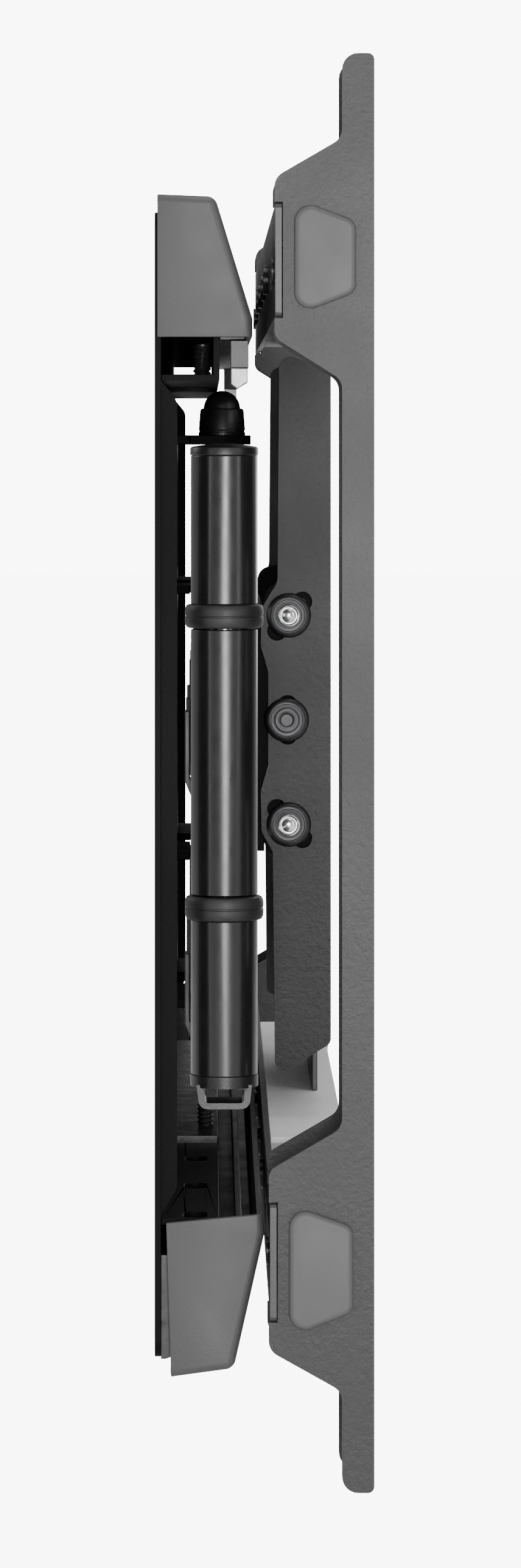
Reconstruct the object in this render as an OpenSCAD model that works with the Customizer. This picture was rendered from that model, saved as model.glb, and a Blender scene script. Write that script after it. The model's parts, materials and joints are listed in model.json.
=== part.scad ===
// Full motion TV wall mount: slim dual-arm type, stored flat against the wall.
// X runs along the wall, +Z is up and the room is on the -Y side, so "depth" below means -Y.
// The origin is on the wall plane, at the height of the centre of the TV's bolt pattern.

/* [Wall plate] */
// Width of the wall plate
plate_w = 620; // [560:5:760]
// Top edge of the wall plate above the origin
plate_top = 172; // [160:1:210]
// Bottom edge of the wall plate below the origin
plate_bottom = 181; // [170:1:220]
// Thickness of the wall plate
plate_t = 2; // [1.5:0.1:2.8]
// Stud spacing that the slots suit
stud_pitch = 406.4; // [380:0.1:430]
// Width of each lag bolt slot
lag_slot_w = 8; // [7:0.5:9]
// Length of each lag bolt slot
lag_slot_l = 30; // [20:1:40]

/* [Arms] */
// Distance of each wall pivot from the centre line
pivot_x = 45; // [40:1:55]
// Length of each arm, pivot to pivot
arm_len = 245; // [200:1:285]
// Depth of all the vertical pivot axes
pivot_depth = 21.5; // [21:0.1:22.5]
// Diameter of the hinge barrels
barrel_d = 20.8; // [18:0.1:21.2]
// Thickness of the arm bars
bar_t = 15; // [12:0.5:17]
// Diameter of the pivot pins
pin_d = 10; // [8:0.5:11]
// Radial clearance of a barrel on its pin
run_gap = 0.05; // [0.03:0.01:0.08]
// Outer diameter of the rubber elbow rings
ring_d = 24.5; // [22:0.1:25]

/* [TV side] */
// Distance between the centres of the two TV brackets
vesa_w = 600; // [560:5:700]
// Height of the TV bolt pattern
vesa_h = 400; // [380:5:404]
// Overall depth from the wall to the TV
total_depth = 67.3; // [67:0.1:72]
// Width of a TV bracket
bracket_w = 40; // [34:1:46]
// Sheet thickness of a TV bracket
bracket_t = 2; // [1.5:0.1:2.5]
// Thickness of the two horizontal rails
rail_t = 2; // [1.6:0.1:2.2]
// Half width of the tilt frame
tilt_half_w = 122; // [105:1:130]
// Diameter of the tilt bolts
tilt_bolt_d = 6; // [5:0.5:6]
// Width of the tilt slots
tilt_slot_w = 6.8; // [6.6:0.1:8]

/* [Hidden] */
$fn = 48;
eps = 0.01;
ARC = 6; // points on each rounded corner

plate_half = plate_w / 2;
slot_top_z = plate_top - 19.5;      // height of the upper row of lag slots
slot_bottom_z = -plate_bottom + 16; // height of the lower row of lag slots
shelf_top_z = plate_top - 50;       // upper face of the top shelf
shelf_bottom_z = -plate_bottom + 43; // upper face of the bottom shelf
shelf_t = 2;
shelf_depth = 20;
window_x0 = pivot_x + 37;
window_x1 = plate_half - 16;
window_z = 112;

barrel_r = barrel_d / 2;
pin_r = pin_d / 2;
elbow_x = pivot_x + arm_len;
// stack of the hinge barrels, from top to bottom
upper_z1 = 97;
upper_z0 = 50.7;
ring_h = 7.4;
mid_z1 = upper_z0 - ring_h - 0.4;
mid_z0 = -39.6;
lower_z1 = mid_z0 - ring_h - 0.4;
lower_z0 = -95.5;
head_z1 = mid_z1 - 2.6;    // the middle arm's barrel at the head is shorter, for the yoke's ears
head_z0 = mid_z0 + 2.6;
ear_t = 3;
axial_gap = 0.4;
lug_t = 3.4;

yoke_d0 = pivot_depth + ring_d / 2 - 0.2;   // back face of the yoke plate
yoke_t = 2.4;
yoke_half = tilt_half_w - 3.4;
yoke_front = 53.5;
tilt_z = 5.5;              // height of the tilt axis
tilt_axis_depth = 86;      // depth of the tilt axis, inside the TV
tilt_pin_z = 36;           // tilt bolts above and below the tilt axis
tilt_pin_d = 44.3;         // depth of the outer tilt bolts
tension_d = 43.6;          // depth of the tension screw
tilt_t = 2.4;
tilt_web_d0 = 56.6;
tilt_web_t = 2.2;
slot_sweep = 7;            // each tilt slot reaches this many degrees either way

level_t = 2;
level_gap = 0.8;             // between the tilt frame's web and the level plate behind it
level_d0 = tilt_web_d0 - level_gap - level_t;
level_half = 48;
upper_rail_d = 37;
lower_rail_d = 35.4;
upper_rail_z = [139.5, 174];
lower_rail_z = [-167.4, -131.7];
rail_half = vesa_w / 2 + bracket_w / 2 + 1;
channel_half = 170;
channel_front = 62.4;
clamp_z = [154, -149];

bracket_web_d = total_depth - bracket_t;
bracket_back_d = 57.4;     // wall side of the narrow part of a TV bracket
bracket_top = vesa_h / 2 + 20;
slide_gap = 0.3;

// ---- helpers -------------------------------------------------------------

// a box given by its lowest and highest X, depth and Z
module bx(x, d, z) translate([x[0], -d[1], z[0]]) cube([x[1] - x[0], d[1] - d[0], z[1] - z[0]]);

// an outline in (depth, Z), made solid from x0 to x1
module slab_x(x0, x1) translate([x1, 0, 0]) rotate([90, 0, -90]) linear_extrude(x1 - x0) children();

// an outline in (X, Z), made solid from depth d0 to d1
module slab_d(d0, d1) translate([0, -d0, 0]) rotate([90, 0, 0]) linear_extrude(d1 - d0) children();

module cyl_x(x0, x1, d, z, r) translate([x0, -d, z]) rotate([0, 90, 0]) cylinder(h = x1 - x0, r = r);
module cyl_d(x, z, d0, d1, r) translate([x, -d0, z]) rotate([90, 0, 0]) cylinder(h = d1 - d0, r = r);
module cyl_z(x, d, z0, z1, r) translate([x, -d, z0]) cylinder(h = z1 - z0, r = r);

// the mirror image across the centre plane, with or without the original
module other_side() mirror([1, 0, 0]) children();
module both_sides() {
    children();
    mirror([1, 0, 0]) children();
}

// corner k of a polygon whose points are [x, y, radius], as points on an arc
function unit(v) = v / norm(v);
function corner(p, k) =
    let (n = len(p), c = p[k], a = p[(k + n - 1) % n], b = p[(k + 1) % n],
        o = [c[0], c[1]],
        u = unit([a[0], a[1]] - o),
        v = unit([b[0], b[1]] - o),
        half = acos(max(-1, min(1, u * v))) / 2)
    c[2] <= 0 ? [o] :
    let (reach = c[2] / tan(half),
        centre = o + unit(u + v) * c[2] / sin(half),
        s = o + u * reach - centre,
        e = o + v * reach - centre,
        turn = 180 - 2 * half,
        way = s[0] * e[1] - s[1] * e[0] > 0 ? 1 : -1)
    [for (i = [0 : ARC]) let (t = way * turn * i / ARC)
        centre + [s[0] * cos(t) - s[1] * sin(t), s[0] * sin(t) + s[1] * cos(t)]];
function rounded(p) = [for (k = [0 : len(p) - 1]) each corner(p, k)];

// a slot with round ends, centred, along X or Z of the plate, cut from depth d0 to d1
module slot_cut(x, z, length, width, d0, d1) {
    reach = (length - width) / 2;
    bx([x - reach, x + reach], [d0, d1], [z - width / 2, z + width / 2]);
    for (s = [-1, 1]) cyl_d(x + s * reach, z, d0, d1, width / 2);
}

// ---- wall side -----------------------------------------------------------

// slots at the two studs, and a round hole on the centre line
module lag_cuts(z, d0, d1) {
    for (x = [-stud_pitch / 2, stud_pitch / 2]) slot_cut(x, z, lag_slot_l, lag_slot_w, d0, d1);
    cyl_d(0, z, d0, d1, lag_slot_w / 2);
}

module wall_plate() {
    color("#2c2c2e") difference() {
        slab_d(0, plate_t) polygon(rounded([[-plate_half, -plate_bottom, 6], [plate_half, -plate_bottom, 6],
            [plate_half, plate_top, 6], [-plate_half, plate_top, 6]]));
        both_sides() slab_d(-1, plate_t + 1) polygon(rounded([[window_x0, -window_z, 8], [window_x1,
            -window_z, 8],
            [window_x1, window_z, 8], [window_x0, window_z, 8]]));
        lag_cuts(slot_top_z, -1, plate_t + 1);
        lag_cuts(slot_bottom_z, -1, plate_t + 1);
    }
}

// stiffening flanges at the two ends of the plate, with swept corners
rib_depth = 6.9;
rib_inset = 4;
module plate_end_ribs() {
    color("#1c1c1d") both_sides() slab_x(plate_half - rib_inset - 2, plate_half - rib_inset)
        polygon(rounded([[plate_t, shelf_bottom_z + 1, 0], [rib_depth, shelf_bottom_z + 9, 5],
            [rib_depth, shelf_top_z - 8, 5], [plate_t, shelf_top_z - shelf_t, 0]]));
}

shelf_hole_pitch = 61.8;
shelf_hole_w = 7.2;
shelf_hole_l = 12.6;
// a shelf across the plate, turned up or down at its free edge, with a row of slots
module shelf(z, lip, slots) {
    color("#2c2c2e") difference() {
        union() {
            bx([-plate_half + 2, plate_half - 2], [plate_t, shelf_depth], [z - shelf_t, z]);
            bx([-plate_half + 2, plate_half - 2], [shelf_depth - 2, shelf_depth],
                lip > 0 ? [z - eps, z + lip] : [z - shelf_t + lip, z - shelf_t + eps]);
        }
        for (i = [1 : slots]) for (s = [-1, 1])
            translate([s * (plate_half + 51 - i * shelf_hole_pitch), -12.5, 0]) {
            translate([-(shelf_hole_l - shelf_hole_w) / 2, -shelf_hole_w / 2, z - shelf_t - 1])
                cube([shelf_hole_l - shelf_hole_w, shelf_hole_w, shelf_t + 2]);
            for (e = [-1, 1]) translate([e * (shelf_hole_l - shelf_hole_w) / 2, 0, z - shelf_t - 1])
                cylinder(h = shelf_t + 2, r = shelf_hole_w / 2);
        }
    }
}
top_lip = 13;
bottom_lip = 9;
module top_shelf() shelf(shelf_top_z, top_lip, 0);
module bottom_shelf() shelf(shelf_bottom_z, -bottom_lip, 3);

// rolled strip along the bottom edge, which stands off the plate
strip_depth = 6.4;
module bottom_mount_strip() {
    color("#161617") difference() {
        slab_x(-plate_half + 1, plate_half - 1) polygon(rounded([[plate_t, -plate_bottom, 0],
            [strip_depth, -plate_bottom, 3.5], [strip_depth, shelf_bottom_z - 11, 3.5],
            [plate_t, shelf_bottom_z - 11, 0]]));
        lag_cuts(slot_bottom_z, plate_t - 1, strip_depth + 1);
    }
}

bracket_half = 26;
bracket_plate_t = 3;
bracket_d0 = plate_t;
bracket_d1 = plate_t + bracket_plate_t;
// one ear of a pivot bracket, at height z, with a bore for its pin
module pivot_lug(z, t) {
    difference() {
        union() {
            bx([-pivot_x - bracket_half, -pivot_x + bracket_half], [bracket_d1 - eps, bracket_d1 + 5],
                [z, z + t]);
            bx([-pivot_x - barrel_r, -pivot_x + barrel_r], [bracket_d1, pivot_depth], [z, z + t]);
            cyl_z(-pivot_x, pivot_depth, z, z + t, barrel_r);
        }
        cyl_z(-pivot_x, pivot_depth, z - 1, z + t + 1, pin_r);
    }
}
lug_outer_top = upper_z1 + 3.3;
lug_outer_bottom = lower_z0 - lug_t - 0.6;
lug_inner_top = upper_z0 - ear_t - axial_gap;
lug_inner_bottom = lower_z1 + axial_gap;
module pivot_bracket_left() {
    color("#232325") {
        bx([-pivot_x - bracket_half, -pivot_x + bracket_half], [bracket_d0, bracket_d1],
            [lug_outer_bottom, lug_outer_top + lug_t]);
        pivot_lug(lug_outer_top, lug_t);
        pivot_lug(lug_inner_top, ear_t - 0.4);
        pivot_lug(lug_inner_bottom, ear_t - 0.4);
        pivot_lug(lug_outer_bottom, lug_t);
    }
}
module pivot_bracket_right() other_side() pivot_bracket_left();

module wall_pivot_pins() {
    color("silver") both_sides() {
        cyl_z(-pivot_x, pivot_depth, lug_inner_top, lug_outer_top + lug_t, pin_r);
        cyl_z(-pivot_x, pivot_depth, lug_outer_bottom, lug_inner_bottom + ear_t - 0.4, pin_r);
    }
}

// domed cap over the head of a wall pivot pin
cap_r = 8.4;
cap_skirt_h = 9.5;
dome_r = 6.6;
module dome_cap() {
    cylinder(h = cap_skirt_h, r1 = cap_r, r2 = cap_r - 0.6);
    translate([0, 0, cap_skirt_h]) intersection() {
        sphere(r = dome_r);
        cylinder(h = dome_r, r = dome_r);
    }
}
module pivot_dome_caps() {
    color("#0e0e0f") both_sides() {
        translate([-pivot_x, -pivot_depth, lug_outer_top + lug_t]) dome_cap();
        translate([-pivot_x, -pivot_depth, lug_outer_bottom]) mirror([0, 0, 1]) dome_cap();
    }
}

// a short screw with a ridged thread, standing along +Z
module ridged_screw(r, length, pitch) {
    cylinder(h = length, r = r - 0.5);
    for (i = [0 : floor(length / pitch) - 1])
        translate([0, 0, i * pitch + pitch / 4]) cylinder(h = pitch / 2, r = r);
}
screw_x = pivot_x + 66;
screw_d = 15.6;
plate_pad_t = 2.5;
module bracket_screws() {
    color("#101010") both_sides() {
        translate([-screw_x, -screw_d, shelf_bottom_z + plate_pad_t]) ridged_screw(3, 8, 1.6);
        translate([-plate_half + 14, -screw_d + 1, shelf_top_z]) ridged_screw(3, 9.6, 1.6);
    }
}
// stiffening plate on the bottom shelf, under the screws
module shelf_plate() {
    color("#1d1d1e") bx([-screw_x - 28, screw_x + 28], [plate_t, shelf_depth], [shelf_bottom_z,
        shelf_bottom_z + plate_pad_t]);
}

cover_t = 2;
cover_half = plate_half + 0.5;
top_cover_outer = [[0.9, 177.3, 0], [18.6, 176.6, 3], [30.1, 139, 2], [30.1, 133.4, 0], [0.9, 133.4, 0]];
top_cover_inner = [[-1, 175.2, 0], [17.2, 174.6, 2], [28.1, 138.8, 1], [28.1, 130, 0], [-1, 130, 0]];
bottom_cover_outer = [[3.6, -138.7, 0], [33.4, -135.9, 0], [33.8, -142, 3], [24.4, -183.6, 4], [5.1,
    -186.2, 0]];
bottom_cover_inner = [[0, -130, 0], [31.4, -130, 0], [31.8, -142, 2], [22.9, -181.8, 3], [0, -184.6, 0]];
module top_cover() {
    color("#6d6d6f") difference() {
        slab_x(-cover_half - cover_t, cover_half + cover_t) polygon(rounded(top_cover_outer));
        slab_x(-cover_half, cover_half) polygon(rounded(top_cover_inner));
    }
}
module bottom_cover() {
    color("#6d6d6f") difference() {
        slab_x(-cover_half - cover_t, cover_half + cover_t) polygon(rounded(bottom_cover_outer));
        slab_x(-cover_half, cover_half) polygon(rounded(bottom_cover_inner));
    }
}
// long strips that join each cover to the turned edge of its shelf
strip_t = 2.5;
bottom_strip_d = 30.1;      // reaches the inner face of the bottom cover
module cover_strips() {
    color("#101010") {
        bx([-cover_half + 4, cover_half - 4], [shelf_depth, 28.05], [shelf_top_z + top_lip - strip_t,
            shelf_top_z + top_lip]);
        both_sides() bx([-cover_half + 0.4, -cover_half + 22], [23.4, 28.9], [clear_clip_z[1],
            shelf_top_z + top_lip - strip_t]);
        bx([-cover_half + 4, cover_half - 4], [shelf_depth, bottom_strip_d],
            [shelf_bottom_z - bottom_lip - shelf_t,
            shelf_bottom_z - bottom_lip - shelf_t + strip_t]);
        bx([-cover_half + 4, cover_half - 4], [25, 27], [shelf_bottom_z - bottom_lip - shelf_t + strip_t,
            shelf_bottom_z - 1.5]);
    }
}
// clear plastic catches under the strips at the two ends of the top cover
clear_clip_z = [shelf_top_z - 4.5, shelf_top_z + 1.8];
module clear_clips() {
    color([0.85, 0.87, 0.9]) both_sides() slab_x(-cover_half + 0.4, -cover_half + 20)
        polygon([[23.6, clear_clip_z[1]], [23.6, clear_clip_z[0] + 1.5], [25.5, clear_clip_z[0]],
            [28.7, clear_clip_z[0] + 2], [28.7, clear_clip_z[1]]]);
}

// ---- arms, drawn for the left side ---------------------------------------

// a flat box bar with a barrel at each end; the bores take the pins
module arm(z0, z1, ea, eb, bore_a, bore_b) {
    inset = 1.8;
    difference() {
        union() {
            bx([-elbow_x, -pivot_x], [pivot_depth - bar_t / 2, pivot_depth + bar_t / 2], [z0 + inset,
                z1 - inset]);
            cyl_z(-pivot_x, pivot_depth, ea[0], ea[1], barrel_r);
            cyl_z(-elbow_x, pivot_depth, eb[0], eb[1], barrel_r);
        }
        cyl_z(-pivot_x, pivot_depth, z0 - 20, z1 + 20, bore_a);
        cyl_z(-elbow_x, pivot_depth, z0 - 20, z1 + 20, bore_b);
    }
}
module upper_bar_left() color("#2e2e30") arm(upper_z0, upper_z1, [upper_z0 + axial_gap, upper_z1],
    [upper_z0, upper_z1], pin_r + run_gap, pin_r);
module lower_bar_left() color("#2e2e30") arm(lower_z0, lower_z1, [lower_z0, lower_z1 - axial_gap],
    [lower_z0, lower_z1], pin_r + run_gap, pin_r);
module outer_arm_left() color("#2e2e30") arm(head_z0, head_z1, [head_z0 + axial_gap, head_z1 - axial_gap],
    [mid_z0, mid_z1], pin_r + run_gap, pin_r + run_gap);
module elbow_pin_left() color("silver") cyl_z(-elbow_x, pivot_depth, lower_z0, upper_z1, pin_r);

// soft ring between two barrels, with a rounded rim
module elbow_ring(z) {
    translate([-elbow_x, -pivot_depth, z]) rotate_extrude() polygon(rounded([[pin_r, 0, 0],
        [ring_d / 2, 0, 2], [ring_d / 2, ring_h, 2], [pin_r, ring_h, 0]]));
}
module elbow_rings_left() color("#1b1b1c") {
    elbow_ring(mid_z1 + 0.4);
    elbow_ring(lower_z1);
}
module elbow_cap_left() {
    color("#3a3a3b") translate([-elbow_x, -pivot_depth, upper_z1]) rotate_extrude()
        polygon([[0, 0], [barrel_r + 0.2, 0], [barrel_r + 0.2, 2.6], [barrel_r * 0.6, 3.3], [0, 3.7]]);
}
// collar under the lowest barrel, with a loop for cables below it
foot_h = 3.6;
loop_h = 6.6;
loop_len = 15;
module elbow_foot_left() {
    top = lower_z0 - foot_h;
    color("#2b2b2c") {
        cyl_z(-elbow_x, pivot_depth, top, lower_z0, barrel_r + 0.2);
        difference() {
            slab_x(-elbow_x - loop_len / 2, -elbow_x + loop_len / 2) polygon(rounded([
                [pivot_depth - 8.6, top + 1, 0], [pivot_depth + 8.6, top + 1, 0],
                [pivot_depth + 7.8, top - loop_h, 3], [pivot_depth - 7.8, top - loop_h, 3]]));
            slab_x(-elbow_x - loop_len, -elbow_x + loop_len) polygon(rounded([
                [pivot_depth - 6.4, top - 0.3, 1], [pivot_depth + 6.4, top - 0.3, 1],
                [pivot_depth + 6, top - loop_h + 1.9, 1.2], [pivot_depth - 6, top - loop_h + 1.9, 1.2]]));
        }
    }
}
// a leaf spring clip for cables, held at its foot on the wall side of a bar
clip_h = 30;
module cable_clip(x, z) {
    slab_x(x - 5, x + 5) polygon([[pivot_depth - bar_t / 2, z], [pivot_depth - bar_t / 2, z + 5],
        [pivot_depth - bar_t / 2 - 3.2, z + 9], [pivot_depth - bar_t / 2 - 3.2, z + clip_h],
        [pivot_depth - bar_t / 2 - 4.8, z + clip_h], [pivot_depth - bar_t / 2 - 4.8, z + 8],
        [pivot_depth - bar_t / 2 - 1.5, z]]);
}
module cable_clips_left() color("#3c3c3d") {
    for (x = [0.25, 0.6, 0.93]) cable_clip(-pivot_x - arm_len * x, (head_z0 + head_z1) / 2 - clip_h / 2);
}
module lower_clips_left() color("#3c3c3d") {
    for (x = [0.4, 0.93]) cable_clip(-pivot_x - arm_len * x, (lower_z0 + lower_z1) / 2 - clip_h / 2 - 3);
}

module upper_bar_right() other_side() upper_bar_left();
module lower_bar_right() other_side() lower_bar_left();
module outer_arm_right() other_side() outer_arm_left();
module elbow_pin_right() other_side() elbow_pin_left();
module elbow_rings_right() other_side() elbow_rings_left();
module elbow_cap_right() other_side() elbow_cap_left();
module elbow_foot_right() other_side() elbow_foot_left();
module cable_clips_right() other_side() cable_clips_left();
module lower_clips_right() other_side() lower_clips_left();

// ---- head ----------------------------------------------------------------

// the yoke's side plates carry the tilt bolts and the tension screw
yoke_outline = [[yoke_d0, 39, 2], [37, 52, 5], [49, 54, 6], [yoke_front, 44, 6], [yoke_front, -33, 6],
    [49, -43, 6], [37, -41, 5], [yoke_d0, -28, 2]];
module yoke_ear(z) {
    difference() {
        union() {
            bx([-pivot_x - barrel_r, -pivot_x + barrel_r], [pivot_depth, yoke_d0 + eps], [z,
                z + ear_t - 0.4]);
            cyl_z(-pivot_x, pivot_depth, z, z + ear_t - 0.4, barrel_r);
        }
        cyl_z(-pivot_x, pivot_depth, z - 1, z + ear_t + 1, pin_r);
    }
}
module head_yoke() {
    color("#2a2a2c") difference() {
        union() {
            bx([-yoke_half, yoke_half], [yoke_d0, yoke_d0 + yoke_t], [head_z0 - ear_t, head_z1 + ear_t]);
            both_sides() {
                slab_x(-yoke_half, -yoke_half + yoke_t) polygon(rounded(yoke_outline));
                yoke_ear(head_z1);
                yoke_ear(head_z0 - ear_t + 0.4);
            }
        }
        for (s = [-1, 1]) cyl_x(-yoke_half - 1, yoke_half + 1, tilt_pin_d, tilt_z + s * tilt_pin_z,
            tilt_bolt_d / 2);
        cyl_x(-yoke_half - 1, yoke_half + 1, tension_d, tilt_z, tilt_bolt_d / 2);
        bx([-14, 14], [yoke_d0 - 1, yoke_d0 + yoke_t + 1], [-12, 22]);
    }
}
module head_pins() color("silver") both_sides()
    cyl_z(-pivot_x, pivot_depth, head_z0 - ear_t + 0.4, head_z1 + ear_t - 0.4, pin_r);

disc_r = 7.6;
disc_x0 = tilt_half_w + 0.3;
disc_t = 2.2;
stud_x0 = yoke_half - yoke_t;  // inner end of every tilt bolt
module tilt_bolts() {
    color("silver") both_sides() for (s = [-1, 1]) {
        z = tilt_z + s * tilt_pin_z;
        cyl_x(-disc_x0 - disc_t, -stud_x0, tilt_pin_d, z, tilt_bolt_d / 2);
        cyl_x(-disc_x0 - disc_t - 1.2, -disc_x0 - disc_t, tilt_pin_d, z, 3.9);
        cyl_x(-disc_x0 - disc_t - 2.2, -disc_x0 - disc_t - 1.2, tilt_pin_d, z, 2.4);
    }
}
module tilt_disc(d, z, bore) {
    difference() {
        translate([-disc_x0, -d, z]) rotate([0, -90, 0]) cylinder(h = disc_t, r1 = disc_r, r2 = disc_r - 0.5);
        cyl_x(-disc_x0 - disc_t - 1, -disc_x0 + 1, d, z, bore);
    }
}
module tilt_discs() {
    color("#39393a") both_sides() {
        for (s = [-1, 1]) tilt_disc(tilt_pin_d, tilt_z + s * tilt_pin_z, tilt_bolt_d / 2);
        tilt_disc(tension_d, tilt_z, 4.6);
    }
}
module tension_screws() {
    color("#3f3f40") both_sides() difference() {
        union() {
            cyl_x(-disc_x0, -stud_x0, tension_d, tilt_z, tilt_bolt_d / 2);
            cyl_x(-disc_x0 - disc_t - 0.6, -disc_x0, tension_d, tilt_z, 4.2);
        }
        translate([-disc_x0 - disc_t - 1, -tension_d, tilt_z]) rotate([0, 90, 0])
            cylinder(h = 2.6, r = 2.2, $fn = 6);
    }
}

// a slot on an arc about the tilt axis, for a pin at (d, z); its sides are true arcs
slot_end_step = 0.05;
module tilt_arc_slot(d, z) {
    reach = norm([tilt_axis_depth - d, z - tilt_z]);
    mid = atan2(z - tilt_z, tilt_axis_depth - d);
    function at(a, r) = [tilt_axis_depth - r * cos(a), tilt_z + r * sin(a)];
    intersection() {
        translate([tilt_axis_depth, tilt_z]) difference() {
            circle(r = reach + tilt_slot_w / 2, $fn = 180);
            circle(r = reach - tilt_slot_w / 2, $fn = 180);
        }
        polygon([at(mid, reach / 2), at(mid - slot_sweep, reach / 2), at(mid - slot_sweep, reach * 1.5),
            at(mid, reach * 1.5), at(mid + slot_sweep, reach * 1.5), at(mid + slot_sweep, reach / 2)]);
    }
    for (a = [-slot_sweep, slot_sweep]) translate(at(mid + a, reach))
        circle(r = tilt_slot_w / 2 - slot_end_step);
}
tilt_outline = [[41, 132.5, 4], [tilt_web_d0 + tilt_web_t, 125.5, 3], [tilt_web_d0 + tilt_web_t, -106, 3],
    [39.6, -117.5, 3], [38.8, -40, 4], [34.9, -33, 4], [34.6, -19, 4], [37.2, -10, 6], [37.2, 22, 6],
    [34.6, 31, 4], [34.9, 44, 4], [40.4, 53, 5]];
module tilt_side() {
    slab_x(-tilt_half_w, -tilt_half_w + tilt_t) difference() {
        polygon(rounded(tilt_outline));
        for (s = [-1, 1]) tilt_arc_slot(tilt_pin_d, tilt_z + s * tilt_pin_z);
        tilt_arc_slot(tension_d, tilt_z);
    }
}
level_slot = [16, 7];
level_slot_z = 70;
level_pivot_r = 8;
module tilt_frame() {
    color("#333335") {
        both_sides() tilt_side();
        difference() {
            bx([-tilt_half_w + 1, tilt_half_w - 1], [tilt_web_d0, tilt_web_d0 + tilt_web_t], [-99, 119]);
            cyl_d(0, tilt_z, tilt_web_d0 - 1, tilt_web_d0 + 4, level_pivot_r);
            for (x = [-86, 86]) bx([x - 22, x + 22], [tilt_web_d0 - 1, tilt_web_d0 + 4], [-70, 92]);
        }
    }
}
module level_pivot() {
    color("silver") {
        cyl_d(0, tilt_z, level_d0 - 0.2, tilt_web_d0 + tilt_web_t, level_pivot_r);
        cyl_d(0, tilt_z, level_d0 - 1.6, level_d0 - 0.2, level_pivot_r + 4);
    }
}
module level_screws() {
    color("#101010") for (s = [-1, 1]) {
        cyl_d(0, tilt_z + s * level_slot_z, level_d0 - 0.2, tilt_web_d0, 3);
        cyl_d(0, tilt_z + s * level_slot_z, level_d0 - 2, level_d0 - 0.2, 5.5);
    }
}

module level_plate() {
    color("#2c2c2e") difference() {
        bx([-level_half, level_half], [level_d0, level_d0 + level_t], [lower_rail_z[1], upper_rail_z[0]]);
        cyl_d(0, tilt_z, level_d0 - 1, level_d0 + level_t + 1, level_pivot_r + run_gap);
        for (s = [-1, 1]) slot_cut(0, tilt_z + s * level_slot_z, level_slot[0], level_slot[1], level_d0 - 1,
            level_d0 + level_t + 1);
    }
}
// a flat rail with a slot near each end, in which the clamp bolt of a bracket slides
module rail(d, z, slot_z) {
    color("#444446") difference() {
        slab_d(d, d + rail_t) polygon(rounded([[-rail_half, z[0], 1.5], [rail_half, z[0], 1.5],
            [rail_half, z[1], 1.5], [-rail_half, z[1], 1.5]]));
        for (s = [-1, 1]) slot_cut(s * (vesa_w / 2 - 50), slot_z, 114, 6.4, d - 1, d + rail_t + 1);
    }
}
module upper_rail() rail(upper_rail_d, upper_rail_z, clamp_z[0]);
module lower_rail() rail(lower_rail_d, lower_rail_z, clamp_z[1]);
// two flanges that carry a rail on the level plate
module channel(d, z) {
    color("#39393b") for (a = [z[0], z[1] - 2])
        bx([-channel_half, channel_half], [d + rail_t, channel_front], [a, a + 2]);
}
module upper_channel() channel(upper_rail_d, upper_rail_z);
module lower_channel() channel(lower_rail_d, lower_rail_z);
// dome-headed rivets on the wall side of the rails
module rail_rivets() {
    color("#101010") for (x = [-130, -50, 50, 130]) {
        cyl_d(x, (upper_rail_z[0] + upper_rail_z[1]) / 2, upper_rail_d - 1.6, upper_rail_d, 5);
        cyl_d(x, (lower_rail_z[0] + lower_rail_z[1]) / 2, lower_rail_d - 1.2, lower_rail_d, 5);
    }
}

// ---- TV brackets, drawn for the left side --------------------------------

bracket_x0 = -vesa_w / 2 - bracket_w / 2;
bracket_x1 = -vesa_w / 2 + bracket_w / 2;
ear_upper_d = 36.7;
ear_lower_d = 35;
bracket_outline = [[total_depth, bracket_top, 2], [bracket_back_d, bracket_top, 5], [bracket_back_d, 194, 5],
    [ear_upper_d, 182, 5], [ear_upper_d, 133, 4], [bracket_back_d, 120, 5], [bracket_back_d, -108.5, 5],
    [ear_lower_d, -121.5, 4], [ear_lower_d, -176.5, 5], [bracket_back_d, -189, 5],
    [bracket_back_d, -bracket_top, 5], [total_depth, -bracket_top, 2]];
notch_gap = 0.5;
module bracket_side(x0, x1) {
    difference() {
        slab_x(x0, x1) polygon(rounded(bracket_outline));
        bx([x0 - 1, x1 + 1], [30, upper_rail_d + rail_t + slide_gap], [upper_rail_z[0] - notch_gap,
            upper_rail_z[1] + notch_gap]);
        bx([x0 - 1, x1 + 1], [30, lower_rail_d + rail_t + slide_gap], [lower_rail_z[0] - notch_gap,
            lower_rail_z[1] + notch_gap]);
    }
}
vesa_hole_r = 4.3;
vesa_rows = [-vesa_h / 2, -vesa_h / 4, vesa_h / 4, vesa_h / 2];
module tv_bracket_left() {
    color("#3a3a3c") {
        bracket_side(bracket_x0, bracket_x0 + bracket_t);
        bracket_side(bracket_x1 - bracket_t, bracket_x1);
        difference() {
            bx([bracket_x0 + bracket_t - eps, bracket_x1 - bracket_t + eps], [bracket_web_d, total_depth],
                [-bracket_top + 2, bracket_top - 2]);
            for (z = vesa_rows) cyl_d(-vesa_w / 2, z, bracket_web_d - 1, total_depth + 1, vesa_hole_r);
            for (z = [-40, 40]) bx([-vesa_w / 2 - 4, -vesa_w / 2 + 4], [bracket_web_d - 1, total_depth + 1],
                [z - 25, z + 25]);
        }
    }
}
pad_h = 2.6;
upper_pad = [[42.8, 175.6, 5], [61.7, 168.6, 4], [61.7, 146.8, 4], [42.8, 139.6, 5]];
lower_pad = [[41.2, -131.6, 5], [60.8, -138.4, 4], [60.8, -164.6, 4], [41.2, -172.2, 5]];
module pad(outline, x0) {
    slab_x(x0 - pad_h, x0) polygon(rounded(outline));
}
module bracket_pads_left() color("#7f7f81") {
    pad(upper_pad, bracket_x0);
    pad(lower_pad, bracket_x0);
}
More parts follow.
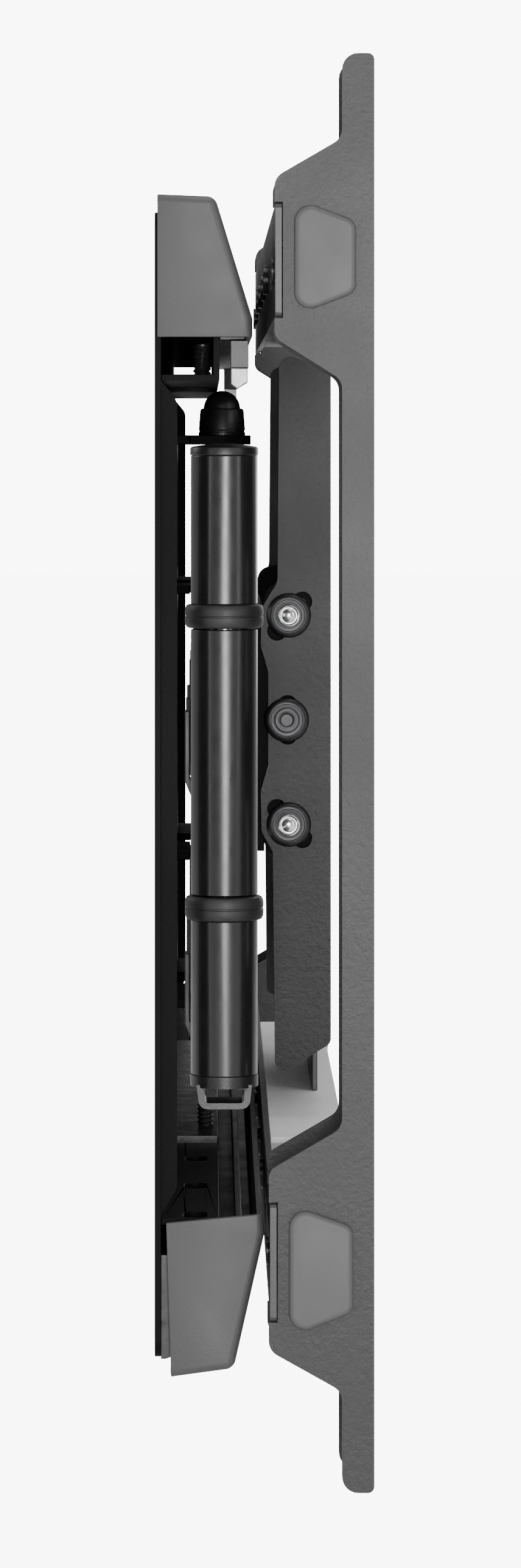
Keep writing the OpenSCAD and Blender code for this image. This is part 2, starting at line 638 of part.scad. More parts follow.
module clamp_plates_left() {
    color("#2c2c2e") for (k = [0, 1]) {
        d = (k == 0 ? upper_rail_d : lower_rail_d) + rail_t + slide_gap;
        difference() {
            bx([bracket_x0 + bracket_t, bracket_x1 - bracket_t], [d, d + 2], [clamp_z[k] - 8,
                clamp_z[k] + 8]);
            cyl_d(-vesa_w / 2, clamp_z[k], d - 1, d + 3, 2.5);
        }
    }
}
module clamp_bolts_left() {
    color("#0c0c0c") for (k = [0, 1]) {
        d = k == 0 ? upper_rail_d : lower_rail_d;
        cyl_d(-vesa_w / 2, clamp_z[k], d - 0.2, d + rail_t + slide_gap + 4.5, 2.5);
        cyl_d(-vesa_w / 2, clamp_z[k], d - 1, d - 0.2, 4.4);
    }
}
module tv_bracket_right() other_side() tv_bracket_left();
module bracket_pads_right() other_side() bracket_pads_left();
module clamp_plates_right() other_side() clamp_plates_left();
module clamp_bolts_right() other_side() clamp_bolts_left();

wall_plate();
plate_end_ribs();
top_shelf();
bottom_shelf();
bottom_mount_strip();
pivot_bracket_left();
pivot_bracket_right();
wall_pivot_pins();
pivot_dome_caps();
bracket_screws();
top_cover();
bottom_cover();
cover_strips();
clear_clips();
shelf_plate();
upper_bar_left();
lower_bar_left();
elbow_pin_left();
elbow_rings_left();
elbow_cap_left();
elbow_foot_left();
outer_arm_left();
cable_clips_left();
lower_clips_left();
upper_bar_right();
lower_bar_right();
elbow_pin_right();
elbow_rings_right();
elbow_cap_right();
elbow_foot_right();
outer_arm_right();
cable_clips_right();
lower_clips_right();
head_yoke();
head_pins();
tilt_bolts();
tilt_discs();
tension_screws();
tilt_frame();
level_pivot();
level_screws();
level_plate();
upper_rail();
lower_rail();
upper_channel();
lower_channel();
rail_rivets();
tv_bracket_left();
bracket_pads_left();
clamp_plates_left();
clamp_bolts_left();
tv_bracket_right();
bracket_pads_right();
clamp_plates_right();
clamp_bolts_right();
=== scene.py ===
"""Looks of the full motion TV wall mount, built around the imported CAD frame. Units are metres."""
import json
import math

import bmesh
import bpy
from mathutils import Matrix, Vector


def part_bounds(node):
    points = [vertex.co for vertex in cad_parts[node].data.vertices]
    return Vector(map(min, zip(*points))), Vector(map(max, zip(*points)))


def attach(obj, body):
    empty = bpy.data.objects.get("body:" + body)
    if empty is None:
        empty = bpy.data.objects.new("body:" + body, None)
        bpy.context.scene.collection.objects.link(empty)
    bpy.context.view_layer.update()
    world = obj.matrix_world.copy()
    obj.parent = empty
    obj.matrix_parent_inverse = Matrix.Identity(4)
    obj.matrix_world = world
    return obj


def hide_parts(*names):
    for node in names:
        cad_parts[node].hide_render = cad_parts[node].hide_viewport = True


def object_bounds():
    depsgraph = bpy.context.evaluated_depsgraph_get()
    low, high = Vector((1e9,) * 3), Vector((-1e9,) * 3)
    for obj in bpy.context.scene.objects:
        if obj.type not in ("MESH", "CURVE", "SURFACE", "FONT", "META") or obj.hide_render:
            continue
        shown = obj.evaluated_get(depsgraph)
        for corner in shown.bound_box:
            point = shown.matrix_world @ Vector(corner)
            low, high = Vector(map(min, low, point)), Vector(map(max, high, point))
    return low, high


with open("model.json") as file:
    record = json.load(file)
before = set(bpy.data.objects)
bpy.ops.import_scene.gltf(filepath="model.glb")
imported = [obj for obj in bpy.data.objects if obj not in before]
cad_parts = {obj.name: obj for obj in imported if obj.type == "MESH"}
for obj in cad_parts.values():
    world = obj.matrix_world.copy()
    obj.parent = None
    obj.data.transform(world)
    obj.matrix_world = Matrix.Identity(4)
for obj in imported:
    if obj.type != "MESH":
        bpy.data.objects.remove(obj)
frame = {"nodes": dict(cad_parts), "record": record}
CAD_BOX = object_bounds()
NODES = frame["nodes"]
MM = 0.001
ROUND = 64        # segments round a turned piece
LEAST_RADIUS = 0.02   # mm, of a turned piece at its axis
ARC = 8           # segments on a rounded corner
STEPS_PER_TURN = 10   # rings along one turn of a thread
THREAD_LEAD_IN = 0.8  # mm at a thread's end that is cut lower


# ---- camera ----------------------------------------------------------------

VIEW_DISTANCE = 1.55        # from the near bracket's outer face to the lens
EYE = Vector((-0.320 - VIEW_DISTANCE, -0.0162, 0.1004))
SENSOR_HEIGHT = 36.0        # mm, as the lens is
LENS = 116.5
LENS_SHIFT = (0.034, -0.2166)
CLIP = (0.01, 50.0)


def make_camera():
    data = bpy.data.cameras.new("camera")
    data.sensor_fit = "VERTICAL"
    data.sensor_height = SENSOR_HEIGHT
    data.lens = LENS
    data.shift_x, data.shift_y = LENS_SHIFT
    data.clip_start, data.clip_end = CLIP
    camera = bpy.data.objects.new("camera", data)
    bpy.context.scene.collection.objects.link(camera)
    camera.location = EYE
    camera.rotation_euler = (math.radians(90), 0, math.radians(-90))
    bpy.context.scene.camera = camera


make_camera()


# ---- materials ---------------------------------------------------------------

class Nodes:
    """Short calls for building one material's node tree."""

    def __init__(self, name):
        self.material = bpy.data.materials.new(name)
        self.material.use_nodes = True
        self.tree = self.material.node_tree
        self.shader = self.tree.nodes["Principled BSDF"]
        self.place = self.add("ShaderNodeTexCoord").outputs["Object"]

    def add(self, kind, **inputs):
        node = self.tree.nodes.new(kind)
        for key, value in inputs.items():
            socket = node.inputs[key.replace("_", " ")]
            if isinstance(value, bpy.types.NodeSocket):
                self.tree.links.new(value, socket)
            else:
                socket.default_value = value
        return node

    def noise(self, scale, detail=2.0, roughness=0.5):
        node = self.add("ShaderNodeTexNoise", Vector=self.place, Scale=scale, Detail=detail,
                        Roughness=roughness)
        return node.outputs["Fac"]

    def stretched_noise(self, scale, stretch, detail=2.0):
        mapping = self.add("ShaderNodeMapping", Vector=self.place, Scale=stretch)
        node = self.add("ShaderNodeTexNoise", Vector=mapping.outputs["Vector"], Scale=scale, Detail=detail)
        return node.outputs["Fac"]

    def ramp(self, fac, stops):
        node = self.add("ShaderNodeValToRGB", Fac=fac)
        elements = node.color_ramp.elements
        while len(elements) < len(stops):
            elements.new(0.5)
        for element, (position, colour) in zip(elements, stops):
            element.position = position
            element.color = (*colour, 1.0)
        return node.outputs["Color"]

    def spread(self, fac, low, high):
        node = self.add("ShaderNodeMapRange", Value=fac, From_Min=0.3, From_Max=0.7, To_Min=low, To_Max=high)
        return node.outputs["Result"]

    def bump(self, height, strength, distance, normal=None):
        node = self.add("ShaderNodeBump", Height=height, Strength=strength, Distance=distance)
        if normal is not None:
            self.tree.links.new(normal, node.inputs["Normal"])
        return node.outputs["Normal"]

    def set(self, **inputs):
        for key, value in inputs.items():
            socket = self.shader.inputs[key.replace("_", " ")]
            if isinstance(value, bpy.types.NodeSocket):
                self.tree.links.new(value, socket)
            else:
                socket.default_value = value
        return self.material


def grey(value, blue=1.0):
    return (value, value, value * blue)


def powder_coat(name, tone, roughness, grain, depth, shine=0.5):
    """Baked powder paint: a fine orange-peel surface with a faint mottle."""
    n = Nodes(name)
    mottle = n.noise(18.0, 4.0)
    speck = n.noise(1500.0, 2.0)
    peel = n.bump(n.noise(grain, 3.0, 0.6), 0.55, depth)
    fine = n.bump(n.noise(grain * 3.1, 2.0), 0.3, depth * 0.4, peel)
    colour = n.add("ShaderNodeMixRGB", Fac=n.spread(speck, 0.0, 0.55),
                   Color1=n.ramp(mottle, [(0.3, grey(tone * 0.92, 1.02)), (0.7, grey(tone * 1.08, 1.03))]),
                   Color2=(*grey(tone * 1.3, 1.03), 1.0)).outputs["Color"]
    return n.set(Base_Color=colour, Roughness=n.spread(mottle, roughness - 0.04, roughness + 0.05),
                 Normal=fine, Specular_IOR_Level=shine)


def moulded_plastic(name, tone, roughness=0.52):
    """Spark-textured grey ABS, with the soft sheen of the mould."""
    n = Nodes(name)
    cells = n.add("ShaderNodeTexVoronoi", Vector=n.place, Scale=1500.0).outputs["Distance"]
    pebble = n.bump(cells, 0.35, 0.00006)
    grain = n.bump(n.noise(2600.0, 2.0), 0.3, 0.00004, pebble)
    colour = n.ramp(n.noise(30.0, 5.0, 0.6), [(0.3, grey(tone * 0.94, 1.01)), (0.7, grey(tone * 1.05, 1.01))])
    return n.set(Base_Color=colour, Normal=grain,
                 Roughness=n.spread(n.noise(60.0, 3.0), roughness - 0.05, roughness + 0.06))


def satin_tube(name, tone=0.012):
    """Smooth black paint over drawn steel, with faint lines along its height."""
    n = Nodes(name)
    lines = n.stretched_noise(900.0, (1.0, 1.0, 0.02))
    peel = n.bump(n.noise(500.0, 3.0), 0.25, 0.00005)
    drawn = n.bump(lines, 0.12, 0.00003, peel)
    colour = n.ramp(n.noise(25.0, 4.0), [(0.3, grey(tone * 0.85)), (0.7, grey(tone * 1.25))])
    return n.set(Base_Color=colour, Roughness=n.spread(n.noise(140.0, 4.0), 0.27, 0.36), Normal=drawn,
                 Coat_Weight=0.25, Coat_Roughness=0.2)


def rubber(name, tone=0.012):
    n = Nodes(name)
    bloom = n.noise(220.0, 5.0, 0.65)
    colour = n.ramp(bloom, [(0.3, grey(tone * 0.8)), (0.75, grey(tone * 1.8))])
    return n.set(Base_Color=colour, Roughness=n.spread(bloom, 0.48, 0.64),
                 Normal=n.bump(n.noise(1800.0, 3.0), 0.35, 0.00006))


def bright_steel(name, tone=0.62, roughness=0.16):
    n = Nodes(name)
    turned = n.noise(2600.0, 2.0)
    colour = n.ramp(n.noise(80.0, 3.0), [(0.3, grey(tone * 0.92, 1.01)), (0.7, grey(tone * 1.08, 1.01))])
    return n.set(Base_Color=colour, Metallic=1.0, Roughness=n.spread(turned, roughness, roughness + 0.08),
                 Normal=n.bump(turned, 0.05, 0.00001))


def dark_steel(name, tone=0.035, roughness=0.36):
    """Black oxide on steel, a little blotchy."""
    n = Nodes(name)
    blotch = n.noise(160.0, 5.0, 0.6)
    colour = n.ramp(blotch, [(0.3, grey(tone * 0.7, 1.03)), (0.7, grey(tone * 1.4, 1.05))])
    return n.set(Base_Color=colour, Metallic=0.75,
                 Roughness=n.spread(blotch, roughness - 0.06, roughness + 0.1),
                 Normal=n.bump(n.noise(1200.0, 3.0), 0.2, 0.00004))


def clear_plastic(name):
    """Clear polycarbonate with faint flow lines."""
    n = Nodes(name)
    flow = n.noise(300.0, 4.0)
    colour = n.ramp(flow, [(0.3, grey(0.8)), (0.7, grey(0.95))])
    return n.set(Base_Color=colour, Transmission_Weight=0.7, IOR=1.5,
                 Roughness=n.spread(flow, 0.06, 0.2), Normal=n.bump(flow, 0.15, 0.0002))


LOOKS = {
    "dark_frame": powder_coat("paint_frame", 0.005, 0.45, 620.0, 0.0001, 0.04),
    "arm_black": satin_tube("paint_arm", 0.007),
    "bracket_grey": powder_coat("paint_bracket", 0.034, 0.42, 480.0, 0.0003, 0.28),
    "tilt_grey": powder_coat("paint_tilt", 0.021, 0.4, 560.0, 0.0003, 0.25),
    "rail_grey": powder_coat("paint_rail", 0.035, 0.42, 600.0, 0.00012),
    # flange_grey: the lower rail's flange, painted far lighter than the rest of the rail as a painted
    # highlight of light falling on its top face from above
    "flange_grey": powder_coat("paint_flange_painted_highlight", 0.72, 0.35, 600.0, 0.0001),
    "cover_plastic": moulded_plastic("plastic_cover", 0.058),
    "pad_plastic": moulded_plastic("plastic_pad", 0.078),
    "black_plastic": moulded_plastic("plastic_black", 0.008, 0.38),
    "clear_plastic": clear_plastic("plastic_clear"),
    "ring_rubber": rubber("rubber_ring", 0.009),
    "pin_steel": bright_steel("steel_pin", 0.75),
    "black_steel": dark_steel("steel_black", 0.035, 0.3),
    "disc_steel": dark_steel("steel_disc", 0.03, 0.32),
}


# ---- mesh helpers --------------------------------------------------------------

def node_slots():
    return {part["node"]: part["material_slot"] for part in frame["record"]["subparts"]}


def part_box(node):
    """A node's box in millimetres, as x, depth and z ranges."""
    low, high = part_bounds(node)
    return ((low[0] / MM, high[0] / MM), (-high[1] / MM, -low[1] / MM), (low[2] / MM, high[2] / MM))


def at(x, depth, z):
    return Vector((x, -depth, z)) * MM


def corner_arc(before, here, after, radius):
    """The arc that rounds one corner of an outline."""
    here, before, after = Vector(here), Vector(before), Vector(after)
    u, v = (before - here).normalized(), (after - here).normalized()
    half = u.angle(v) / 2
    if radius <= 0:
        return [here]
    centre = here + (u + v).normalized() * (radius / math.sin(half))
    start = here + u * (radius / math.tan(half)) - centre
    end = here + v * (radius / math.tan(half)) - centre
    turn = math.copysign(math.pi - 2 * half, start.x * end.y - start.y * end.x)
    return [centre + Matrix.Rotation(turn * i / ARC, 2) @ start for i in range(ARC + 1)]


def round_outline(corners):
    """An outline of (depth, z, radius) corners with each corner rounded."""
    count = len(corners)
    points = []
    for i, (a, b, radius) in enumerate(corners):
        points += corner_arc(corners[i - 1][:2], (a, b), corners[(i + 1) % count][:2], radius)
    return points


def inset(corners, amount):
    """The same convex outline with every side moved in by an amount."""
    count = len(corners)
    middle = sum((Vector(c[:2]) for c in corners), Vector((0, 0))) / count
    lines = []
    for i in range(count):
        p, q = Vector(corners[i][:2]), Vector(corners[(i + 1) % count][:2])
        normal = Vector((p.y - q.y, q.x - p.x)).normalized()
        if (middle - p).dot(normal) < 0:
            normal.negate()
        lines.append((p + normal * amount, (q - p).normalized()))
    result = []
    for i in range(count):
        (p, u), (q, v) = lines[i - 1], lines[i]
        t = ((q - p).x * v.y - (q - p).y * v.x) / (u.x * v.y - u.y * v.x)
        point = p + u * t
        result.append((point.x, point.y, max(0.4, corners[i][2] - amount)))
    return result


class Shape:
    """Gathers the mesh of one piece."""

    def __init__(self):
        self.verts = []
        self.faces = []

    def skin(self, rings):
        """Joins closed rings of equal length, one after another, and closes both ends."""
        base, size = len(self.verts), len(rings[0])
        for ring in rings:
            self.verts += ring
        for k in range(len(rings) - 1):
            for i in range(size):
                j = (i + 1) % size
                a, b = base + k * size, base + (k + 1) * size
                self.faces.append((a + i, a + j, b + j, b + i))
        last = base + (len(rings) - 1) * size
        self.faces.append(tuple(range(base, base + size)))
        self.faces.append(tuple(range(last, last + size)))

    def lathe(self, centre, axis, profile):
        """Turns (radius, height) points, in millimetres, about an axis through a centre in metres."""
        turn = Vector((0, 0, 1)).rotation_difference(Vector(axis)).to_matrix()
        rings = []
        for radius, height in profile:
            radius = max(radius, LEAST_RADIUS)
            angles = [2 * math.pi * i / ROUND for i in range(ROUND)]
            ring = [(radius * math.cos(a), radius * math.sin(a), height) for a in angles]
            rings.append([Vector(centre) + turn @ (Vector(p) * MM) for p in ring])
        self.skin(rings)

    def thread(self, centre, up, radius, depth, pitch, length):
        """A screw thread that starts at a centre in millimetres and runs along Z, up (1) or down (-1)."""
        steps = int(length / pitch * STEPS_PER_TURN)
        rings = []
        for k in range(steps + 1):
            z = length * k / steps
            ring = []
            for i in range(ROUND):
                angle = 2 * math.pi * i / ROUND
                phase = (z / pitch - i / ROUND) % 1.0
                r = radius - depth * abs(2 * phase - 1) ** 0.8
                if z > length - THREAD_LEAD_IN:
                    r = min(r, radius - depth * 0.6)
                offset = Vector((r * math.cos(angle), r * math.sin(angle), up * z))
                ring.append((Vector(centre) + offset) * MM)
            rings.append(ring)
        self.skin(rings)

    def piece(self, name, body, slot, replaces=(), smooth=40.0):
        """Makes the mesh into a piece that rides a body and stands in for the CAD nodes it replaces."""
        mesh = bpy.data.meshes.new(name)
        mesh.from_pydata([tuple(v) for v in self.verts], [], self.faces)
        fixed = bmesh.new()
        fixed.from_mesh(mesh)
        bmesh.ops.remove_doubles(fixed, verts=fixed.verts, dist=1e-7)
        bmesh.ops.recalc_face_normals(fixed, faces=fixed.faces)
        fixed.to_mesh(mesh)
        fixed.free()
        mesh.shade_smooth()
        mesh.set_sharp_from_angle(angle=math.radians(smooth))
        mesh.materials.append(LOOKS[slot])
        piece = bpy.data.objects.new(name, mesh)
        bpy.context.scene.collection.objects.link(piece)
        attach(piece, body)
        if replaces:
            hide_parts(*replaces)
        return piece


def dress(obj, width):
    """Welds a CAD node's seams and rounds its sharp edges, which leaves its own mesh as it is."""
    weld = obj.modifiers.new("weld", "WELD")
    weld.merge_threshold = 1e-6
    bevel = obj.modifiers.new("edges", "BEVEL")
    bevel.width = width
    bevel.segments = 3
    bevel.limit_method = "ANGLE"
    bevel.angle_limit = math.radians(40)
    bevel.use_clamp_overlap = True
    bevel.harden_normals = False
    smooth = obj.modifiers.new("normals", "WEIGHTED_NORMAL")
    smooth.keep_sharp = False
    smooth.weight = 60


# radius of the rounded edges of the bent sheet parts, in mm
EDGE = {"tv_bracket_left": 0.6, "tv_bracket_right": 0.6, "tilt_frame": 0.6, "wall_plate": 0.6,
        "upper_rail": 0.5, "lower_rail": 0.5, "level_plate": 0.5}
DEFAULT_EDGE = 0.35

for name, slot in node_slots().items():
    obj = NODES[name]
    obj.data.materials.clear()
    obj.data.materials.append(LOOKS[slot])
    dress(obj, EDGE.get(name, DEFAULT_EDGE) * MM)


# ---- plastic covers --------------------------------------------------------------

COVER_WALL = 2.0
COVER_EDGE = 2.4


def cover_shell(name, node, path, last):
    """A thin moulded shell along a path of (depth, z) points; the last point only closes its ends."""
    (x0, x1), _, _ = part_box(node)
    shape = Shape()
    size = len(path) + 1
    for x in (x0, x1):
        shape.verts += [at(x, d, z) for d, z in [*path, last]]
    shape.faces = [(i, i + 1, size + i + 1, size + i) for i in range(len(path) - 1)]
    shape.faces += [tuple(range(size)), tuple(range(2 * size - 1, size - 1, -1))]
    shell = shape.piece(name, "wall_unit", "cover_plastic", [node], smooth=35)
    bevel = shell.modifiers.new("rounding", "BEVEL")
    bevel.width = COVER_EDGE * MM
    bevel.segments = 6
    bevel.angle_limit = math.radians(30)
    wall = shell.modifiers.new("wall", "SOLIDIFY")
    wall.thickness = COVER_WALL * MM
    wall.offset = -1.0
    wall.use_even_offset = True
    lip = shell.modifiers.new("lip", "BEVEL")
    lip.width = 0.25 * MM
    lip.segments = 2
    lip.angle_limit = math.radians(60)


def make_covers():
    """Both plastic covers, each one a moulded shell in place of its CAD node."""
    _, (d0, d1), (z0, z1) = part_box("top_cover")
    cover_shell("top_cover_shell", "top_cover",
                [(d0, z1), (d0 + 17.7, z1 - 0.7), (d1, z0 + 5.6), (d1, z0)], (d0, z0))
    _, (d0, d1), (z0, z1) = part_box("bottom_cover")
    cover_shell("bottom_cover_shell", "bottom_cover",
                [(d1 - 0.4, z1), (d1, z1 - 6.1), (d1 - 9.4, z0 + 2.6), (d0 + 1.5, z0)], (d0, z1 - 2.8))


make_covers()


# ---- pads on the brackets --------------------------------------------------------

PAD_FILLET = 1.7
PAD_STEPS = 6     # rings up the fillet
# corners of each pad, as (depth, z, radius)
UPPER_PAD = [(42.8, 175.6, 5), (61.7, 168.6, 4), (61.7, 146.8, 4), (42.8, 139.6, 5)]
LOWER_PAD = [(41.2, -131.6, 5), (60.8, -138.4, 4), (60.8, -164.6, 4), (41.2, -172.2, 5)]


def make_pads(side, sign):
    """The two raised pads on one bracket, whose outer face looks along X by the sign."""
    (x0, x1), _, _ = part_box(f"bracket_pads_{side}")
    base, top = (x1, x0) if sign < 0 else (x0, x1)
    shape = Shape()
    for corners in (UPPER_PAD, LOWER_PAD):
        rings = [[at(base, p.x, p.y) for p in round_outline(corners)]]
        for k in range(PAD_STEPS + 1):
            angle = math.pi / 2 * k / PAD_STEPS
            x = top - sign * PAD_FILLET * (1 - math.sin(angle))
            ring = round_outline(inset(corners, PAD_FILLET * (1 - math.cos(angle)) + 0.001))
            rings.append([at(x, p.x, p.y) for p in ring])
        shape.skin(rings)
    shape.piece(f"bracket_pads_moulded_{side}", f"bracket_{side}", "pad_plastic",
                [f"bracket_pads_{side}"], smooth=50)


make_pads("left", -1)
make_pads("right", 1)


# ---- caps, rings and studs --------------------------------------------------------

def arc_profile(radius, height, start, steps=10):
    """Quarter of an ellipse from its rim up to its crown, as (radius, height) points."""
    return [(radius * math.cos(math.pi / 2 * k / steps), start + height * math.sin(math.pi / 2 * k / steps))
            for k in range(steps + 1)]


def make_dome_caps():
    """The domed caps over and under each pivot bracket's pins."""
    (x0, _), (d0, d1), (z0, z1) = part_box("pivot_dome_caps")
    radius = (d1 - d0) / 2
    skirt, dome = 9.5, 6.6
    profile = [(0, 0), (radius, 0), (radius, 0.9), (radius - 0.25, 1.2), (radius - 0.25, 1.7),
               (radius - 0.05, 2.0), (radius - 0.55, skirt - 0.7), (radius - 0.85, skirt - 0.1),
               (radius - 1.3, skirt + 0.1), (radius - 1.75, skirt + 0.1)]
    profile += arc_profile(radius - 1.85, dome - 0.3, skirt + 0.15, 12)[1:]
    shape = Shape()
    for sign in (-1, 1):
        x, d = sign * (-x0 - radius), (d0 + d1) / 2
        shape.lathe(at(x, d, z1 - skirt - dome), (0, 0, 1), profile)
        shape.lathe(at(x, d, z0 + skirt + dome), (0, 0, -1), profile)
    shape.piece("dome_caps_moulded", "wall_unit", "black_plastic", ["pivot_dome_caps"], smooth=35)


RING_HEIGHT = 7.4
RING_BORE = 5.0


def make_elbow_trim(side):
    """The grooved rubber rings and the cap on one elbow."""
    (x0, x1), (d0, d1), (z0, z1) = part_box(f"elbow_rings_{side}")
    centre, radius = ((x0 + x1) / 2, (d0 + d1) / 2), (d1 - d0) / 2
    height = RING_HEIGHT
    ring = [(RING_BORE, 0), (radius - 1.3, 0), (radius - 0.5, 0.35), (radius - 0.1, 1.2), (radius, 2.2),
            (radius, height / 2 - 0.35),
            (radius - 0.22, height / 2 - 0.15), (radius - 0.22, height / 2 + 0.15),
            (radius, height / 2 + 0.35), (radius, height - 2.2), (radius - 0.1, height - 1.2),
            (radius - 0.5, height - 0.35), (radius - 1.3, height), (RING_BORE, height)]
    shape = Shape()
    for z in (z0, z1 - height):
        shape.lathe(at(*centre, z), (0, 0, 1), ring)
    shape.piece(f"elbow_rings_moulded_{side}", f"inner_arm_{side}", "ring_rubber",
                [f"elbow_rings_{side}"], smooth=35)

    _, (d0, d1), (z0, z1) = part_box(f"elbow_cap_{side}")
    radius, height = (d1 - d0) / 2, z1 - z0
    cap = [(0, 0), (radius - 0.2, 0), (radius, 0.25), (radius, 2.1), (radius - 0.15, 2.45),
           (radius - 0.6, 2.7),
           (radius * 0.75, 3.05), (radius * 0.5, 3.4), (radius * 0.25, height - 0.05), (0, height)]
    shape = Shape()
    shape.lathe(at(*centre, z0), (0, 0, 1), cap)
    shape.piece(f"elbow_cap_moulded_{side}", f"inner_arm_{side}", "black_plastic",
                [f"elbow_cap_{side}"], smooth=35)


DISC_THICKNESS = 2.2
BOLT_RADIUS = 3.9     # of a tilt bolt's head
SOCKET_RADIUS = 4.3   # inside the tension screw's disc
RECESS_RADIUS = 2.0      # of the round hollow in the tension screw's head


def make_tilt_hardware():
    """The turned discs, bright stud heads and tension screw heads on both cheeks of the yoke."""
    _, (d0, d1), (z0, z1) = part_box("tilt_bolts")
    (_, disc_x1), _, _ = part_box("tilt_discs")
    (_, screw_x1), (t0, t1), (tz0, tz1) = part_box("tension_screws")
    depth, studs = (d0 + d1) / 2, (z0 + BOLT_RADIUS, z1 - BOLT_RADIUS)
    face = disc_x1 - DISC_THICKNESS
    disc = [(3.0, 0), (7.5, 0), (7.65, 0.2), (7.65, 0.7), (7.35, 1.5), (7.0, 1.95), (6.5, 2.2), (5.6, 2.25),
            (5.4, 2.0), (4.5, 1.95), (4.3, 2.15), (3.0, 2.15)]
    stud = [(0, 0), (4.0, 0), (4.0, 2.6), (3.75, 3.1), (3.3, 3.25), (2.95, 3.05), (2.6, 3.05)]
    stud += arc_profile(2.45, 1.2, 3.15, 6)
    screw_r, screw_h = (t1 - t0) / 2, screw_x1 - face
    screw = [(0, 0.4), (RECESS_RADIUS, 0.4), (RECESS_RADIUS, screw_h - 0.4), (2.3, screw_h - 0.1),
             (2.9, screw_h), (screw_r - 0.3, screw_h), (screw_r, screw_h - 0.3), (screw_r, 0)]
    discs, chrome, screws = Shape(), Shape(), Shape()
    for sign in (-1, 1):
        axis = (sign, 0, 0)
        for z in studs:
            discs.lathe(at(sign * face, depth, z), axis, disc)
            chrome.lathe(at(sign * face, depth, z), axis, stud)
        socket = [(max(r, SOCKET_RADIUS), h) for r, h in disc]
        discs.lathe(at(sign * face, (t0 + t1) / 2, (tz0 + tz1) / 2), axis, socket)
        screws.lathe(at(sign * face, (t0 + t1) / 2, (tz0 + tz1) / 2), axis, screw)
    discs.piece("tilt_discs_turned", "head", "disc_steel", ["tilt_discs"], smooth=30)
    screws.piece("tension_screws_turned", "head", "disc_steel", ["tension_screws"], smooth=30)
    chrome.piece("tilt_bolts_turned", "head", "pin_steel", ["tilt_bolts"], smooth=30)


SHELF_SCREW_X = 111.0
SCREW_RADIUS = 3.0
SCREW_THREAD = (0.75, 1.5)      # depth and pitch
UPPER_THREAD, LOWER_THREAD = 9.6, 8.0   # lengths


def make_threads():
    """The screws that hold the pivot brackets, with their threads showing."""
    (_, x1), (d0, d1), (z0, z1) = part_box("bracket_screws")
    radius = SCREW_RADIUS
    shape = Shape()
    for sign in (-1, 1):
        shape.thread((sign * (x1 - radius), -(d0 + radius), z1 - UPPER_THREAD), 1, radius, *SCREW_THREAD,
                     UPPER_THREAD)
        shape.thread((sign * SHELF_SCREW_X, -(d1 - radius), z0), 1, radius, *SCREW_THREAD, LOWER_THREAD)
    shape.piece("bracket_screws_threaded", "wall_unit", "black_steel", ["bracket_screws"], smooth=30)


make_dome_caps()
make_elbow_trim("left")
make_elbow_trim("right")
make_tilt_hardware()
make_threads()


# ---- stage ---------------------------------------------------------------------

SEEN_WHITE = 9.0     # strength of the white that the camera sees behind the object
FLOOR_SEEN = 0.95    # share of that white on the floor
WORLD_LIGHT = 0.4    # strength of the world as a light
FLOOR_HALF = 12.0
FLOOR_GAP = 0.03     # below the object
LIGHT_AIM = (0, -0.03, 0)
# name, place, size and watts
LIGHTS = [
    ("key", (-2.2, -0.15, 0.1), (0.5, 0.8), 31),
    ("rim", (-1.3, 1.5, 0.2), (0.3, 1.2), 8),
    ("fill", (-1.2, -1.3, 0.5), (0.5, 1.2), 6),
    ("top", (-0.2, -0.3, 1.6), (1.2, 1.0), 14),
    ("far_side", (1.6, -0.8, 0.5), (0.8, 1.2), 10),
    ("back", (0.3, 1.6, 0.8), (1.2, 1.0), 10),
]


def area_light(name, place, aim, size, watts):
    data = bpy.data.lights.new(name, "AREA")
    data.shape = "RECTANGLE"
    data.size, data.size_y = size
    data.energy = watts
    light = bpy.data.objects.new(name, data)
    bpy.context.scene.collection.objects.link(light)
    light.location = place
    light.rotation_euler = (Vector(aim) - Vector(place)).to_track_quat("-Z", "Y").to_euler()


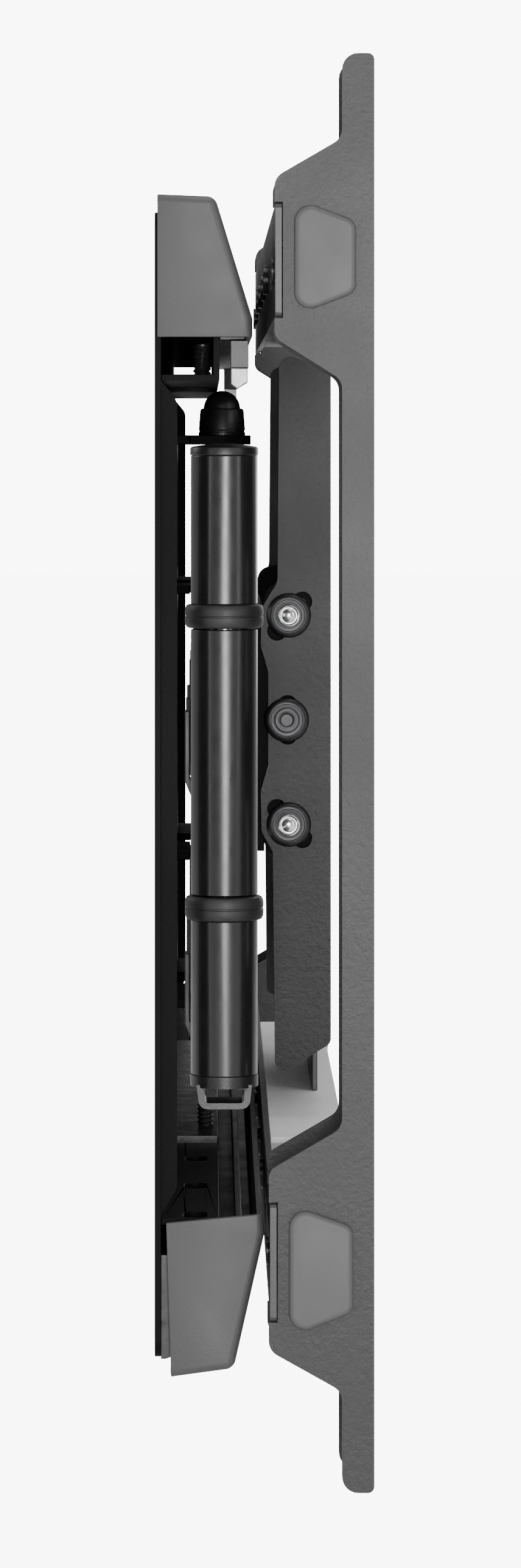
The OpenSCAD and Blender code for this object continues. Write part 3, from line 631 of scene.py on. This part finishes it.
def make_floor():
    """A floor that the camera sees as near white and that still takes shadows."""
    floor_z = CAD_BOX[0][2] - FLOOR_GAP
    mesh = bpy.data.meshes.new("floor")
    corners = [(-1, -1), (1, -1), (1, 1), (-1, 1)]
    mesh.from_pydata([(x * FLOOR_HALF, y * FLOOR_HALF, floor_z) for x, y in corners], [], [(0, 1, 2, 3)])
    floor = bpy.data.objects.new("floor", mesh)
    bpy.context.scene.collection.objects.link(floor)
    n = Nodes("floor_white")
    n.set(Base_Color=(0.9, 0.9, 0.9, 1.0), Roughness=0.9)
    glow = n.add("ShaderNodeEmission", Strength=SEEN_WHITE)
    seen = n.add("ShaderNodeLightPath").outputs["Is Camera Ray"]
    mix = n.tree.nodes.new("ShaderNodeMixShader")
    part_seen = n.add("ShaderNodeMath").outputs["Value"]
    part_seen.node.operation = "MULTIPLY"
    n.tree.links.new(seen, part_seen.node.inputs[0])
    part_seen.node.inputs[1].default_value = FLOOR_SEEN
    n.tree.links.new(part_seen, mix.inputs[0])
    n.tree.links.new(n.shader.outputs[0], mix.inputs[1])
    n.tree.links.new(glow.outputs[0], mix.inputs[2])
    n.tree.links.new(mix.outputs[0], n.tree.nodes["Material Output"].inputs["Surface"])
    mesh.materials.append(n.material)


def make_stage():
    """The floor, a world that is white to the camera and dim as a light, and the lamps."""
    make_floor()
    world = bpy.data.worlds.new("studio")
    bpy.context.scene.world = world
    world.use_nodes = True
    tree = world.node_tree
    backdrop = tree.nodes["Background"]
    backdrop.inputs["Color"].default_value = (1, 1, 1, 1)
    backdrop.inputs["Strength"].default_value = WORLD_LIGHT
    seen = tree.nodes.new("ShaderNodeBackground")
    seen.inputs["Color"].default_value = (1, 1, 1, 1)
    seen.inputs["Strength"].default_value = SEEN_WHITE
    path = tree.nodes.new("ShaderNodeLightPath")
    mix = tree.nodes.new("ShaderNodeMixShader")
    tree.links.new(path.outputs["Is Camera Ray"], mix.inputs[0])
    tree.links.new(backdrop.outputs[0], mix.inputs[1])
    tree.links.new(seen.outputs[0], mix.inputs[2])
    tree.links.new(mix.outputs[0], tree.nodes["World Output"].inputs["Surface"])

    for name, place, size, watts in LIGHTS:
        area_light(name, place, LIGHT_AIM, size, watts)


make_stage()
